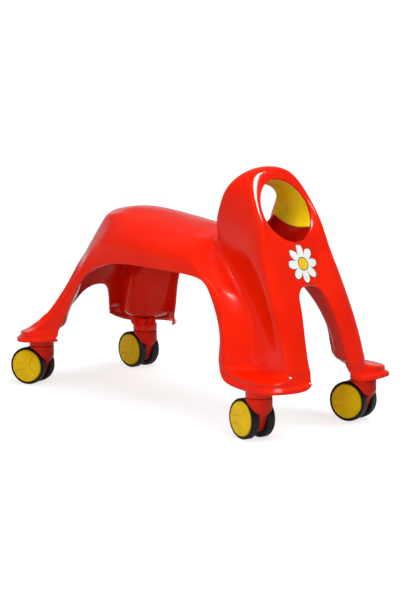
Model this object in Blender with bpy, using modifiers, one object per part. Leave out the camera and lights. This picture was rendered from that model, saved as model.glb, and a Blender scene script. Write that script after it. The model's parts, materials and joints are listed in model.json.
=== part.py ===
"""Toddler ride-on: a moulded saddle body on four swivelling twin-wheel casters.

Metres, +Z up, floor at z = 0. The front of the toy faces -Y, its left side is +X,
and the body is symmetric about x = 0. Design points are in millimetres, with y = 0
midway between the swivel axes; the toy's origin is under the middle of its length.
"""
from math import cos, pi, radians, sin

import bmesh
import bpy
from mathutils import Matrix, Vector

MM = 0.001
GAP = 0.3 * MM                   # clearance between pieces that touch
MIDDLE_Y = -4.0                  # middle of the toy's length among the design points, mm

# Body shell
WALL = 2.8 * MM                  # moulded wall thickness
CREST_CREASE = 0.35              # firmness of the leg crests and the head's edge
VALLEY_CREASE = 0.4              # firmness of the corner between a leg and the saddle
PAD_CREASE = 0.5                 # firmness of the edge round a foot-rest
FIT_ROUNDS = 8                   # passes that push the cage out to the design points

# Hand hole through the head, an ellipse on the slanted front panel, mm
HOLE_CENTRE = (-171.5, 265.3)
HOLE_HALF_WIDTH = 37.5
HOLE_HALF_HEIGHT = 42.0
HOLE_SLOPE = radians(29.0)
BACK_CENTRE = (-113.0, 264.0)
BACK_HALF_WIDTH = 37.0
BACK_HALF_HEIGHT = 33.0
BACK_SLOPE = radians(-20.0)
HOLE_ANGLES = (0.0, 21.0, 42.0, 60.0, 80.0, 101.0, 125.0, 152.0, 180.0)

# Liner between the two ends of the hand hole: share of its length from front to back,
# and where its lower edge lies as an angle from the bottom of the hole, degrees
LINER_STATIONS = ((0.0, 54.0), (0.24, 48.0), (0.5, 49.5), (0.75, 63.0), (1.0, 90.0))
LINER_STEPS = 16
LINER_INSET = 0.5                # mm that it stands in from the edge of the hole
LINER_FRONT_GAP = 4.2            # mm from the front face to its front end
LINER_BACK_GAP = 4.2             # mm from its back end to the head's back
LINER_WALL = 1.6 * MM

# Casters
WHEEL_RADIUS = 25.0 * MM
WHEEL_FACETS = 24
WHEEL_INNER = 5.6 * MM           # inner face of a wheel, from the caster's middle plane
WHEEL_OUTER = 17.4 * MM
RECESS_FLOOR = 13.0 * MM
CAP_RADIUS = 21.6 * MM
CAP_CROWN = 18.7 * MM
TRAIL = 14.0 * MM                # axle behind the swivel axis
AXLE_RADIUS = 2.5 * MM
STEM_RADIUS = 4.0 * MM
STEM_BOTTOM = 35.0 * MM
STEM_TOP = 66.5 * MM
BUSH_RADIUS = 6.5 * MM           # steel bush pressed into the socket
BUSH_TOP = 61.5 * MM
CLIP_BOTTOM = 61.8 * MM          # ring on the stem, above the bush
CLIP_HEIGHT = 1.6 * MM
CLIP_INNER = 3.6 * MM
NECK_RADIUS = 16.4 * MM
NECK_TOP = 52.2 * MM             # top of the rotating fork
SOCKET_BOTTOM = 53.0 * MM        # bottom of the fixed socket on the body
SOCKET_TOP = 72.3 * MM           # sunk into the wall of the foot-rest
SOCKET_BORE_TOP = 67.5 * MM

# Swivel axis of each caster in mm, and the way that its wheels trail, degrees from +X
CASTERS = {
    "front_right": (-85.5, -221.0, 84.5),
    "front_left": (85.5, -221.0, 105.6),
    "rear_right": (-88.0, 221.0, 113.9),
    "rear_left": (88.0, 221.0, 92.1),
}

RED = (0.80, 0.018, 0.006, 1.0)
YELLOW = (0.72, 0.45, 0.010, 1.0)
BLACK = (0.012, 0.011, 0.012, 1.0)
STEEL = (0.55, 0.55, 0.57, 1.0)

# Left half of the body. Each column of the cage runs down from the shoulder of the
# saddle, and the columns go round from the front centre line to the rear one.
COLUMNS = {
    # front panel: centre line, beside it, rim of the arch and leg, outer crest
    "front_mid": [(0, -196.5, 218), (0, -205, 198), (0, -213.5, 177.5)],
    "front_by": [(16, -196.5, 218), (14, -205.5, 197), (12, -214.5, 175.5)],
    "front_rim": [(33, -195.5, 218), (28, -207, 192), (20.5, -220, 165.5),
                  (24.5, -228.5, 151), (29, -239, 124), (32.3, -249.5, 92)],
    "front_crest": [(53.2, -190.5, 221), (56.2, -201.5, 197), (58.7, -212, 174),
                    (60.5, -222.5, 151), (61.8, -234, 124), (62, -245.5, 93)],
    # side of the head, then the valley between it and the saddle's skirt
    "front_wall": [(48, -140, 224), (50, -156.5, 199), (52.5, -176, 175),
                   (56, -193, 150), (59.5, -205, 123), (62.5, -215.5, 92.5)],
    "valley": [(42, -90, 224), (44, -108.5, 202), (49, -134.5, 178),
               (55.3, -163, 151), (61.3, -180, 123.5), (66.3, -190, 93)],
    # skirt beside the head, then the rear rim of the front leg
    "front_turn": [(45.5, -75, 222), (56.5, -93, 205), (66.5, -116.5, 183.5),
                   (76.5, -141, 157.5), (86, -158.5, 124), (92.5, -167, 93)],
    "front_edge": [(49, -56, 222), (64.5, -76, 209), (75.5, -95.5, 191.5),
                   (79.5, -119, 167), (86.3, -147, 125), (92.3, -154.3, 93)],
    # side of the saddle, above the side arch
    "side_front": [(51, -29, 223.5), (68, -48.5, 212), (77, -71.5, 197.5), (80, -86, 182)],
    "side_mid": [(53, 10, 225), (69.5, 5, 213.5), (78, 0, 199.3), (80.5, -4, 182.5)],
    "side_rear": [(52.5, 56.5, 228.5), (69, 58.5, 214.5), (77.5, 64, 196.5), (80.5, 70, 179)],
    # rear leg: front rim, front crest, groove, rear crest, arch rim
    "rear_edge": [(49.5, 92.5, 231.3), (65.7, 100, 212.5), (76.8, 110, 187),
                  (81.5, 122, 162), (88, 147.5, 130), (94.5, 160.5, 96)],
    "rear_turn": [(46, 115, 232), (62, 120, 209), (73.5, 131, 186),
                  (83, 143.5, 161), (92, 162, 130), (105, 181, 96)],
    "groove_front": [(42, 134, 229.5), (54, 139, 207), (64, 149, 185),
                     (65.5, 159, 161), (71.5, 167.5, 130), (78, 183.5, 96)],
    "groove_rear": [(36, 148, 227), (43, 158, 206), (52, 167, 184),
                    (52, 179.5, 160), (49, 193, 130), (55.5, 208.5, 96)],
    "rear_crest": [(24, 160, 227.5), (27, 177, 206), (33, 187, 184),
                   (41, 201.5, 160), (48.5, 218, 130), (60, 237, 96)],
    "rear_rim": [(12, 171, 228.5), (13, 186.5, 206), (14, 195.5, 183),
                 (16, 205, 155), (21, 219.5, 119), (31, 229, 94)],
    "rear_mid": [(0, 175, 229), (0, 189, 207), (0, 196.5, 183),
                 (0, 204.5, 156), (0, 213, 128.3)],
}
RING = tuple(COLUMNS)
SADDLE_RING = RING[RING.index("valley"):RING.index("groove_rear") + 1]
REAR_RING = RING[RING.index("groove_rear"):]

# Edge of the head: front crest, middle of the side, back corner, from below upwards
HEAD_EDGE = {
    "front_crest": [(50, -180, 246), (47.5, -167.5, 268), (42, -154.5, 290),
                    (27, -147, 307.5), (0, -145.5, 312.5)],
    "front_wall": [(49.8, -137, 246), (49, -134, 268), (44, -133, 290),
                   (27.5, -136, 310), (0, -136, 316)],
    "valley": [(45.5, -94, 246), (47, -101.5, 268), (42.5, -109.3, 290),
               (27, -119.7, 306.5), (0, -124, 312)],
}
# Foot of the head's back, from the centre line to the back corner
NAPE = [(0, -82, 228), (14, -82.5, 227.5), (28, -85, 226)]

# Centre line of the saddle, from the head to the rear
SPINE = [(-62, 228.5), (-42, 230), (-18, 233), (20, 236.8), (62, 241),
         (98, 243.6), (124, 242.8), (148, 238.8)]

# Feet: plan origin on the outer rim of the leg, and the other rim's end, mm
FRONT_FOOT = ((33.0, -254.0), (95.0, -157.0))
REAR_FOOT = ((100.5, 172.0), (34.0, 232.0))

# Rows of a foot for each column: along the chord, outboard of it, height, mm
FRONT_ROWS = {
    "front_rim": [(0, 0, 81), (0, 0, 75), (0, 0.5, 70), (0.5, 1.5, 64)],
    "front_crest": [(17, 22, 80), (6, 27, 74), (3, 28.5, 69), (0, 31, 63)],
    "front_wall": [(41, 11, 77), (24, 44.5, 74), (22.5, 47.5, 69), (20, 51.5, 62)],
    "valley": [(67, 0, 77), (55, 45, 74), (55, 50, 69), (54, 54.5, 62)],
    "front_turn": [(95, 9, 80), (83, 26, 74.5), (85, 28, 70), (88, 29.5, 63.5)],
    "front_edge": [(113, 1, 82), (113.2, 1.7, 75), (112.8, 2.5, 71), (111.3, 3.8, 65.5)],
}
REAR_ROWS = {
    "rear_edge": [(0, 0, 80), (-0.5, 0.5, 74), (-1, 1.5, 69), (-1, 3, 62.5)],
    "rear_turn": [(6, 30, 80), (4, 36, 75), (2, 38.5, 69.5), (-1, 41, 62.5)],
    "groove_front": [(27, 5, 78), (26, 52.5, 74.5), (25, 55, 69), (24, 58, 62)],
    "groove_rear": [(60, 8, 79.5), (53, 48.5, 75.5), (55, 51, 69.5), (57, 55, 62.5)],
    "rear_crest": [(74, 30, 85), (72, 35.5, 77.5), (75.5, 37, 71), (80, 38.5, 65)],
    "rear_rim": [(90, 1, 84), (90.5, 2, 80.5), (90.5, 3, 77), (89.5, 4.5, 72)],
}


def clear_scene():
    """Start from an empty scene."""
    for item in list(bpy.data.objects):
        bpy.data.objects.remove(item, do_unlink=True)


def make_collection(name):
    """A collection linked to the scene."""
    collection = bpy.data.collections.new(name)
    bpy.context.scene.collection.children.link(collection)
    return collection


def make_material(name, colour, roughness, metallic=0.0):
    """A Principled material with a plain colour."""
    material = bpy.data.materials.new(name)
    material.use_nodes = True
    shader = material.node_tree.nodes["Principled BSDF"]
    shader.inputs["Base Color"].default_value = colour
    shader.inputs["Roughness"].default_value = roughness
    shader.inputs["Metallic"].default_value = metallic
    return material


def make_object(name, bm, collection, material=None):
    """Turn a bmesh into a named object."""
    mesh = bpy.data.meshes.new(name)
    bm.to_mesh(mesh)
    bm.free()
    item = bpy.data.objects.new(name, mesh)
    collection.objects.link(item)
    if material is not None:
        mesh.materials.append(material)
    return item


def evaluated_mesh(item):
    """The object's mesh with its modifiers applied, in its own space."""
    bpy.context.view_layer.update()
    graph = bpy.context.evaluated_depsgraph_get()
    return bpy.data.meshes.new_from_object(item.evaluated_get(graph))


def turned(name, profile, steps, collection, material=None):
    """A turned piece: a profile of (radius, height) points swept about Z."""
    bm = bmesh.new()
    corners = [bm.verts.new((radius, 0.0, height)) for radius, height in profile]
    for upper, lower in zip(corners, corners[1:]):
        bm.edges.new((upper, lower))
    if profile[0][0] > 0.0:
        bm.edges.new((corners[-1], corners[0]))
    item = make_object(name, bm, collection, material)
    screw = item.modifiers.new("Turn", "SCREW")
    screw.axis = "Z"
    screw.steps = steps
    screw.render_steps = steps
    screw.use_merge_vertices = True
    screw.merge_threshold = 0.00001
    return item


def cylinder(name, radius, low, high, sides, collection, material=None):
    """A closed cylinder along Z between two heights."""
    bm = bmesh.new()
    bmesh.ops.create_cone(bm, cap_ends=True, segments=sides, radius1=radius,
                          radius2=radius, depth=high - low)
    bmesh.ops.translate(bm, verts=bm.verts, vec=(0.0, 0.0, (high + low) / 2))
    return make_object(name, bm, collection, material)


def combine(item, other, operation):
    """Join another solid to an object, or cut it out, and hide that solid."""
    other.hide_render = True
    other.display_type = "WIRE"
    boolean = item.modifiers.new(operation.title(), "BOOLEAN")
    boolean.operation = operation
    boolean.solver = "EXACT"
    boolean.object = other
    return item


def metres(point):
    """A design point in mm as a place in the toy's own frame."""
    x, y, z = point
    return Vector((x, y - MIDDLE_Y, z)) * MM


def mix(start, end, share):
    """The point at a share of the way between two points."""
    return tuple(a + (b - a) * share for a, b in zip(start, end))


def foot_point(foot, along, outboard, height):
    """World point in mm from a foot's own directions."""
    (x0, y0), (x1, y1) = foot
    length = ((x1 - x0) ** 2 + (y1 - y0) ** 2) ** 0.5
    ex, ey = (x1 - x0) / length, (y1 - y0) / length
    return (x0 + ex * along + ey * outboard, y0 + ey * along - ex * outboard, height)


def hole_ellipse(centre, half_width, half_height, slope):
    """An ellipse on a plane that leans back: its point at an angle from the lowest one,
    drawn in by a clearance."""
    def point(angle, clearance=0.0):
        rise = (clearance - half_height) * cos(radians(angle))
        return ((half_width - clearance) * sin(radians(angle)),
                centre[0] + rise * sin(slope), centre[1] + rise * cos(slope))
    return point


class Cage:
    """Named design points and the quads between them."""

    def __init__(self):
        self.points = {}
        self.faces = []

    def row(self, key, points):
        """Add a row of points and return their names."""
        names = [(key, index) for index in range(len(points))]
        self.points.update(zip(names, points))
        return names

    def strip(self, upper, lower):
        """Quads between two rows of names."""
        for index in range(len(upper) - 1):
            self.faces.append((upper[index], lower[index], lower[index + 1],
                               upper[index + 1]))


def body_cage():
    """The left half of the body as a coarse cage."""
    cage = Cage()
    feet = {name: [foot_point(FRONT_FOOT, *row) for row in rows]
            for name, rows in FRONT_ROWS.items()}
    feet.update({name: [foot_point(REAR_FOOT, *row) for row in rows]
                 for name, rows in REAR_ROWS.items()})
    names = {name: cage.row(name, COLUMNS[name] + feet.get(name, [])) for name in RING}
    for left, right in zip(RING, RING[1:]):
        depth = min(len(names[left]), len(names[right]))
        cage.strip(names[left][:depth], names[right][:depth])

    # top of the saddle, crowned between the spine and each shoulder point
    nape = cage.row("nape", NAPE) + [names["valley"][0]]
    lines = [nape]
    for (spine_y, spine_z), station in zip(SPINE, SADDLE_RING[1:-1]):
        shoulder = COLUMNS[station][0]
        points = []
        for share in (0.0, 0.36, 0.70):
            x, y, _ = mix((0.0, spine_y, 0.0), shoulder, share)
            z = shoulder[2] + (spine_z - shoulder[2]) * (1.0 - share ** 2.2)
            points.append((x, y, z))
        lines.append(cage.row(("saddle", station), points) + [names[station][0]])
    rear = [names[name][0] for name in reversed(REAR_RING)]
    lines.append(rear)
    for ahead, behind in zip(lines, lines[1:]):
        cage.strip(ahead, behind)

    # head: its edge runs up from the crest and over the top
    edge = {name: [names[name][0]] + cage.row(("head", name), HEAD_EDGE[name])
            for name in HEAD_EDGE}
    cage.strip(edge["front_crest"], edge["front_wall"])
    cage.strip(edge["front_wall"], edge["valley"])

    # front panel and the head's back, each round its own end of the hand hole
    panel = [names[name][0] for name in ("front_mid", "front_by", "front_rim")]
    front_point = hole_ellipse(HOLE_CENTRE, HOLE_HALF_WIDTH, HOLE_HALF_HEIGHT, HOLE_SLOPE)
    back_point = hole_ellipse(BACK_CENTRE, BACK_HALF_WIDTH, BACK_HALF_HEIGHT, BACK_SLOPE)
    front = cage.row("hole front", [front_point(angle) for angle in HOLE_ANGLES])
    back = cage.row("hole back", [back_point(angle) for angle in HOLE_ANGLES])
    cage.strip(panel + edge["front_crest"], front)
    cage.strip(back, nape[:-1] + edge["valley"])

    firm = {}
    for column, value in (("front_crest", CREST_CREASE), ("rear_turn", CREST_CREASE),
                          ("rear_crest", CREST_CREASE), ("valley", VALLEY_CREASE)):
        for upper, lower in zip(names[column][:7], names[column][1:7]):
            firm[(upper, lower)] = value
    for upper, lower in zip(edge["front_crest"], edge["front_crest"][1:]):
        firm[(upper, lower)] = CREST_CREASE
    for rows in (FRONT_ROWS, REAR_ROWS):
        rim = [names[name][len(COLUMNS[name]) + 1] for name in rows]
        for start, end in zip(rim, rim[1:]):
            firm[(start, end)] = PAD_CREASE
    return cage, firm


def fit_to_design(item, targets):
    """Push the cage out until the smooth surface runs through its design points."""
    for _ in range(FIT_ROUNDS):
        smooth = evaluated_mesh(item)
        reached = [smooth.vertices[index].co.copy() for index in range(len(targets))]
        bpy.data.meshes.remove(smooth)
        for vertex, target, point in zip(item.data.vertices, targets, reached):
            vertex.co += target - point
            if target.x == 0.0:
                vertex.co.x = 0.0


def body_surface(name, collection, material, level):
    """The smooth outer surface of the body, open along its lower rim."""
    cage, firm = body_cage()
    bm = bmesh.new()
    corners = {key: bm.verts.new(metres(point)) for key, point in cage.points.items()}
    for face in cage.faces:
        bm.faces.new([corners[key] for key in face])
    crease = bm.edges.layers.float.new("crease_edge")
    for (start, end), value in firm.items():
        bm.edges.get((corners[start], corners[end]))[crease] = value
    bmesh.ops.recalc_face_normals(bm, faces=bm.faces)
    bm.verts.index_update()
    top = corners[(("saddle", "side_mid"), 0)].link_faces[0]
    if top.normal.z < 0.0:
        bmesh.ops.reverse_faces(bm, faces=bm.faces)
    item = make_object(name, bm, collection, material)
    targets = [vertex.co.copy() for vertex in item.data.vertices]
    mirror = item.modifiers.new("Other side", "MIRROR")
    mirror.merge_threshold = 0.00005
    mirror.use_clip = True
    smooth = item.modifiers.new("Smooth", "SUBSURF")
    smooth.levels = level
    smooth.render_levels = level
    fit_to_design(item, targets)
    return item


def make_socket(name, x, y, collection):
    """Caster socket under a foot-rest, before it is joined to the body."""
    height = SOCKET_TOP - SOCKET_BOTTOM
    profile = [(0.0, SOCKET_TOP), (NECK_RADIUS + 1.2 * MM, SOCKET_TOP),
               (NECK_RADIUS, SOCKET_TOP - 0.55 * height),
               (NECK_RADIUS, SOCKET_BOTTOM + 0.6 * MM),
               (NECK_RADIUS - 0.6 * MM, SOCKET_BOTTOM), (0.0, SOCKET_BOTTOM)]
    item = turned(name, profile, 20, collection)
    item.location = metres((x, y, 0.0))
    return item


def make_body(collection, cutters, material):
    """Body shell with its four sockets and their bores."""
    body = body_surface("body_shell", collection, material, 1)
    wall = body.modifiers.new("Wall", "SOLIDIFY")
    wall.thickness = WALL
    wall.offset = -1.0
    wall.use_quality_normals = True
    wall.use_even_offset = True
    wall.thickness_clamp = 0.0
    for name, (x, y, _) in CASTERS.items():
        combine(body, make_socket("socket_" + name, x, y, cutters), "UNION")
    for name, (x, y, _) in CASTERS.items():
        bore = cylinder("bore_" + name, BUSH_RADIUS + GAP, SOCKET_BOTTOM - 5 * MM,
                        SOCKET_BORE_TOP, 12, cutters)
        bore.location = metres((x, y, 0.0))
        combine(body, bore, "DIFFERENCE")
    return body


def bake(item):
    """Apply an object's modifiers and take it out of the scene, keeping its mesh."""
    mesh = evaluated_mesh(item)
    mesh.shade_smooth()
    mesh.set_sharp_from_angle(angle=radians(35.0))
    bpy.data.objects.remove(item, do_unlink=True)
    return mesh


def web_outline():
    """Side outline of the fork's web in mm: ahead of the swivel axis is negative."""
    ahead = [(-8.3, 48.0), (-8.3, 27.0), (-2.0, 12.0), (1.5, 10.0), (8.0, 8.5)]
    boss = [(TRAIL / MM + 11.0 * cos(turn), WHEEL_RADIUS / MM + 11.0 * sin(turn))
            for turn in (radians(degree) for degree in range(-60, 61, 24))]
    return ahead + boss + [(14.5, 41.0), (14.5, 48.0)]


def make_fork_mesh(collection):
    """Rotating caster fork: a round neck that narrows to a web between the wheels."""
    half_web = WHEEL_INNER - GAP
    profile = [(0.0, NECK_TOP), (NECK_RADIUS - 0.6 * MM, NECK_TOP),
               (NECK_RADIUS, NECK_TOP - 0.6 * MM), (NECK_RADIUS, 38.0 * MM),
               (8.6 * MM, 27.0 * MM), (3.0 * MM, 14.0 * MM), (0.0, 13.0 * MM)]
    fork = turned("fork", profile, 24, collection)
    bm = bmesh.new()
    face = bm.faces.new([bm.verts.new((x * MM, half_web, z * MM)) for x, z in web_outline()])
    moved = bmesh.ops.extrude_face_region(bm, geom=[face])["geom"]
    bmesh.ops.translate(bm, vec=(0.0, -2 * half_web, 0.0),
                        verts=[part for part in moved if isinstance(part, bmesh.types.BMVert)])
    bmesh.ops.recalc_face_normals(bm, faces=bm.faces)
    tools = [make_object("web", bm, collection)]
    combine(fork, tools[0], "UNION")
    for side in (-1, 1):
        well = cylinder("well", WHEEL_RADIUS + 1.0 * MM, 0.0, 20.0 * MM, 28, collection)
        well.matrix_world = axle_frame(side) @ Matrix.Translation((0.0, 0.0, half_web))
        tools.append(well)
    tools.append(cylinder("stem bore", STEM_RADIUS + GAP, STEM_BOTTOM - GAP,
                          NECK_TOP + 2.0 * MM, 16, collection))
    tools.append(cylinder("axle bore", AXLE_RADIUS + GAP, -8.0 * MM, 8.0 * MM, 12, collection))
    tools[-1].matrix_world = axle_frame(1)
    for tool in tools[1:]:
        combine(fork, tool, "DIFFERENCE")
    mesh = bake(fork)
    for tool in tools:
        bpy.data.objects.remove(tool, do_unlink=True)
    return mesh


def axle_frame(side):
    """A caster's axle: origin in its middle plane, Z out through the wheel of one side."""
    return (Matrix.Translation((TRAIL, 0.0, WHEEL_RADIUS))
            @ Matrix.Rotation(-side * pi / 2, 4, "X"))


def make_caster_meshes(collection):
    """Meshes of the pieces that each caster repeats."""
    tread = WHEEL_RADIUS / cos(pi / WHEEL_FACETS)
    bore = AXLE_RADIUS + GAP
    rim = CAP_RADIUS + GAP
    wheel = [(rim, WHEEL_OUTER - 0.5 * MM), (tread - 1.4 * MM, WHEEL_OUTER),
             (tread, WHEEL_OUTER - 1.5 * MM), (tread, WHEEL_INNER + 1.5 * MM),
             (tread - 1.4 * MM, WHEEL_INNER), (bore, WHEEL_INNER),
             (bore, RECESS_FLOOR), (rim, RECESS_FLOOR)]
    cap = [(0.0, CAP_CROWN), (0.72 * CAP_RADIUS, CAP_CROWN - 0.7 * MM),
           (CAP_RADIUS, CAP_CROWN - 1.9 * MM), (CAP_RADIUS, RECESS_FLOOR + GAP),
           (0.0, RECESS_FLOOR + GAP)]
    groove_top = CLIP_BOTTOM + CLIP_HEIGHT + GAP
    stem = [(0.0, STEM_TOP), (STEM_RADIUS - 0.7 * MM, STEM_TOP),
            (STEM_RADIUS, STEM_TOP - 0.7 * MM), (STEM_RADIUS, groove_top),
            (CLIP_INNER - GAP, groove_top), (CLIP_INNER - GAP, CLIP_BOTTOM - GAP),
            (STEM_RADIUS, CLIP_BOTTOM - GAP), (STEM_RADIUS, STEM_BOTTOM),
            (0.0, STEM_BOTTOM)]
    bush = [(BUSH_RADIUS, BUSH_TOP), (BUSH_RADIUS, SOCKET_BOTTOM),
            (STEM_RADIUS + GAP, SOCKET_BOTTOM), (STEM_RADIUS + GAP, BUSH_TOP)]
    clip = [(BUSH_RADIUS - 0.8 * MM, CLIP_BOTTOM + CLIP_HEIGHT),
            (BUSH_RADIUS - 0.8 * MM, CLIP_BOTTOM), (CLIP_INNER, CLIP_BOTTOM),
            (CLIP_INNER, CLIP_BOTTOM + CLIP_HEIGHT)]
    end = RECESS_FLOOR - GAP
    axle = [(0.0, end), (AXLE_RADIUS - 0.4 * MM, end), (AXLE_RADIUS, end - 0.4 * MM),
            (AXLE_RADIUS, 0.4 * MM - end), (AXLE_RADIUS - 0.4 * MM, -end), (0.0, -end)]
    shapes = {"wheel": (wheel, WHEEL_FACETS), "hub_cap": (cap, WHEEL_FACETS),
              "stem": (stem, 12), "stem_bush": (bush, 12), "stem_clip": (clip, 12),
              "axle": (axle, 12)}
    meshes = {name: bake(turned(name, profile, steps, collection))
              for name, (profile, steps) in shapes.items()}
    meshes["fork"] = make_fork_mesh(collection)
    return meshes


def place(name, mesh, material, collection, parent, matrix):
    """A copy of a shared mesh, held by its parent."""
    if not mesh.materials:
        mesh.materials.append(material)
    item = bpy.data.objects.new(name, mesh)
    collection.objects.link(item)
    item.parent = parent
    item.matrix_basis = matrix
    return item


def make_caster(name, collection, meshes, materials):
    """One caster: stem and bush in the body, fork, axle, two wheels with hub caps."""
    x, y, trail_angle = CASTERS[name]
    swivel = bpy.data.objects.new(name + "_swivel", None)
    collection.objects.link(swivel)
    swivel.location = metres((x, y, 0.0))
    swivel.rotation_euler.z = radians(trail_angle)
    upright = Matrix.Identity(4)
    for piece, material in (("stem_bush", "steel"), ("stem", "steel"),
                            ("stem_clip", "steel"), ("fork", "red")):
        place(name + "_" + piece, meshes[piece], materials[material], collection,
              swivel, upright)
    place(name + "_axle", meshes["axle"], materials["steel"], collection, swivel,
          axle_frame(1))
    flat_down = Matrix.Rotation(pi / WHEEL_FACETS, 4, "Z")
    for side, hand in ((-1, "wheel_a"), (1, "wheel_b")):
        seat = axle_frame(side) @ flat_down
        place(name + "_" + hand, meshes["wheel"], materials["black"], collection,
              swivel, seat)
        place(name + "_" + hand + "_cap", meshes["hub_cap"], materials["yellow"],
              collection, swivel, seat)


def make_liner(collection, material):
    """Yellow sleeve that lines the roof and upper walls of the hand hole. It is held
    between the front and back walls of the head."""
    front = hole_ellipse(HOLE_CENTRE, HOLE_HALF_WIDTH, HOLE_HALF_HEIGHT, HOLE_SLOPE)
    back = hole_ellipse(BACK_CENTRE, BACK_HALF_WIDTH, BACK_HALF_HEIGHT, BACK_SLOPE)
    bm = bmesh.new()
    rows = []
    for share, start in LINER_STATIONS:
        row = []
        for step in range(LINER_STEPS + 1):
            angle = start + (360.0 - 2.0 * start) * step / LINER_STEPS
            near = front(angle, LINER_INSET)
            far = back(angle, LINER_INSET)
            length = far[1] - near[1]
            depth = mix((LINER_FRONT_GAP,), (length - LINER_BACK_GAP,), share)[0]
            row.append(bm.verts.new(metres(mix(near, far, depth / length))))
        rows.append(row)
    for ahead, behind in zip(rows, rows[1:]):
        for index in range(LINER_STEPS):
            bm.faces.new((ahead[index], ahead[index + 1], behind[index + 1], behind[index]))
    bmesh.ops.recalc_face_normals(bm, faces=bm.faces)
    bm.faces.ensure_lookup_table()
    roof = bm.faces[LINER_STEPS // 2]
    if roof.normal.z < 0.0:
        bmesh.ops.reverse_faces(bm, faces=bm.faces)
    liner = make_object("handle_liner", bm, collection, material)
    wall = liner.modifiers.new("Wall", "SOLIDIFY")
    wall.thickness = LINER_WALL
    wall.offset = 1.0
    wall.use_even_offset = True
    return liner


def main():
    clear_scene()
    toy = make_collection("toddler_swivel_ride_on")
    cutters = make_collection("cutters")
    materials = {
        "red": make_material("red_plastic", RED, 0.22),
        "yellow": make_material("yellow_plastic", YELLOW, 0.3),
        "black": make_material("black_wheel", BLACK, 0.5),
        "steel": make_material("zinc_steel", STEEL, 0.35, 1.0),
    }
    make_body(toy, cutters, materials["red"])
    make_liner(toy, materials["yellow"])
    meshes = make_caster_meshes(toy)
    for name in CASTERS:
        make_caster(name, toy, meshes, materials)
    bpy.context.view_layer.update()


main()
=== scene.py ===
"""Toddler's ride-on toy: a glossy red moulded saddle body with a raised head, a yellow
grip through the head, and four swivelling twin-wheel casters."""
import json

import bmesh
import bpy
import numpy as np
from mathutils import Matrix, Vector

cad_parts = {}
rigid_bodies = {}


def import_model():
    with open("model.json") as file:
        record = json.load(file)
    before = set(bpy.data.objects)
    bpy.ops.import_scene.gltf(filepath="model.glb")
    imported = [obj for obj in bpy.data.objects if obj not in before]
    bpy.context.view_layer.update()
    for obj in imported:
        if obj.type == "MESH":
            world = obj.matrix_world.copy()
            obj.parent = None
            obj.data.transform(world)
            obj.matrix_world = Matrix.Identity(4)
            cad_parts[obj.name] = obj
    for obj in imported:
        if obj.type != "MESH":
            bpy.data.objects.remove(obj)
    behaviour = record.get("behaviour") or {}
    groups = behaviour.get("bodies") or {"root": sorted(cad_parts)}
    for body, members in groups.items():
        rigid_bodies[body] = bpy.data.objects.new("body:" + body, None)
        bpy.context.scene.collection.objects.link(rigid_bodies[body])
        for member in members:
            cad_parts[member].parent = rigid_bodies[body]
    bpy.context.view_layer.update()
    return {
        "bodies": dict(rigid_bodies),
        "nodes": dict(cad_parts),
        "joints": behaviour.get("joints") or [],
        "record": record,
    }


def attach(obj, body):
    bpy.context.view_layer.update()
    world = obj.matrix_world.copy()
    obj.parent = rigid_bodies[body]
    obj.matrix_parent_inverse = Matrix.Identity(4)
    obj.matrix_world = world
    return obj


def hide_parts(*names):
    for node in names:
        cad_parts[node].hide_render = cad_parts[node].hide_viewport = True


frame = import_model()

# ---------------------------------------------------------------------------
# Body shell: one polyethylene moulding, about 3 mm thick and open underneath. A low
# saddle runs back from a tall head, and four channel-shaped legs end in foot-rests. It
# is moulded in a polished tool, so it is glossy, with a soft ripple like orange peel.
MM = 0.001
MERGE = 0.000002                 # points closer than this are one, m
SHARP_ANGLE = np.radians(40.0)
MIDDLE_Y = -4.0                  # middle of the toy's length among the design points, mm
SHELL_WALL = 2.8 * MM
SHELL_LEVEL = 3
FIT_ROUNDS = 10
CREST_FIRMNESS = 0.35
CREST_RAMP = (0.15, 0.3, 0.5, 0.7, 0.85)
VALLEY_FIRMNESS = 0.4
PAD_FIRMNESS = 0.6
LIP_FIRMNESS = 0.3

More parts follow.
